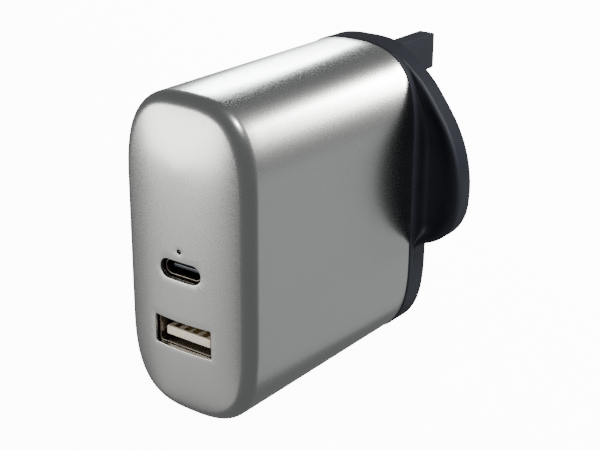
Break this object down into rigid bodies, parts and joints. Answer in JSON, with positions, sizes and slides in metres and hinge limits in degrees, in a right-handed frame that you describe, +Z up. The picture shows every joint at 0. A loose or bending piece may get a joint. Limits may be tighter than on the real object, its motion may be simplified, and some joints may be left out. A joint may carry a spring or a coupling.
{
  "type": "usb wall charger",
  "caption": "Slim upright wall charger: rounded metallic body, black plug base with grip wings and fixed rectangular pins, one USB-C and one USB-A outlet.",
  "frame": {"origin": "middle of the line between the two live pins, on the plug's engagement face", "axes": "+Y the way the pins point into the socket, +X to the right facing the outlets, +Z up towards the earth pin"},
  "size_m": [0.0522, 0.0852, 0.0654],
  "materials": {
    "silver_paint": "satin metallic paint on moulded plastic",
    "black_plastic": "satin moulded",
    "pin_plastic": "satin moulded",
    "sleeve_plastic": "satin moulded",
    "pin_brass": "nickel-tinted brass, lightly worn",
    "strip_copper": "phosphor bronze",
    "board_green": "solder mask",
    "receptacle_steel": "nickel plated",
    "tongue_black": "moulded",
    "tongue_cream": "moulded",
    "contact_gold": "gold flash",
    "clear_acrylic": "clear moulded",
    "led_epoxy": "diffuse epoxy",
    "ferrite": "sintered ferrite",
    "bobbin_plastic": "moulded phenolic",
    "enamelled_copper": "enamelled wire",
    "yellow_film": "polyester tape and boxed film",
    "capacitor_sleeve": "shrink sleeve",
    "can_aluminium": "drawn can",
    "blue_coating": "dipped epoxy",
    "green_coating": "dipped epoxy",
    "fuse_body": "sleeved",
    "chip_epoxy": "moulding compound",
    "inductor_metal": "pressed metal powder",
    "chip_ceramic": "ceramic",
    "pad_silicone": "soft silicone",
    "plate_aluminium": "rolled sheet",
    "sheet_film": "polycarbonate film"
  },
  "bodies": {
    "charger": {"main_shell": "silver_paint", "rear_cover": "black_plastic", "earth_pin": "pin_plastic", "line_pin": "pin_brass", "neutral_pin": "pin_brass", "line_pin_sleeve": "sleeve_plastic", "neutral_pin_sleeve": "sleeve_plastic", "line_contact": "strip_copper", "neutral_contact": "strip_copper", "main_board": "board_green", "usb_c_shell": "receptacle_steel", "usb_c_tongue": "tongue_black", "usb_c_contacts": "contact_gold", "usb_a_shell": "receptacle_steel", "usb_a_tongue": "tongue_cream", "usb_a_contact_tails": "contact_gold", "light_pipe": "clear_acrylic", "status_led": "led_epoxy", "transformer_core": "ferrite", "transformer_bobbin": "bobbin_plastic", "transformer_winding": "enamelled_copper", "transformer_tape": "yellow_film", "bulk_capacitors": "capacitor_sleeve", "output_capacitors": "can_aluminium", "x_capacitor": "yellow_film", "y_capacitor": "blue_coating", "choke_core": "ferrite", "choke_windings": "enamelled_copper", "input_fuse": "fuse_body", "varistor": "blue_coating", "inrush_thermistor": "green_coating", "bridge_rectifier": "chip_epoxy", "power_switch": "chip_epoxy", "primary_controller": "chip_epoxy", "optocoupler": "chip_epoxy", "output_rectifier": "chip_epoxy", "usb_controller": "chip_epoxy", "output_inductor": "inductor_metal", "chip_resistors": "chip_epoxy", "chip_capacitors": "chip_ceramic", "thermal_pad": "pad_silicone", "heat_spreader": "plate_aluminium", "insulating_sheet": "sheet_film"},
    "usb_a_springs": {"usb_a_contacts": "contact_gold"}
  },
  "joints": [
    {"name": "usb_a_contact_flex", "type": "hinge", "parent": "charger", "child": "usb_a_springs", "pos_m": [0, -0.0508, -0.01734], "axis": [1, 0, 0], "range_deg": [0, 3.4], "stiffness_Nm_per_rad": 0.25}
  ]
}
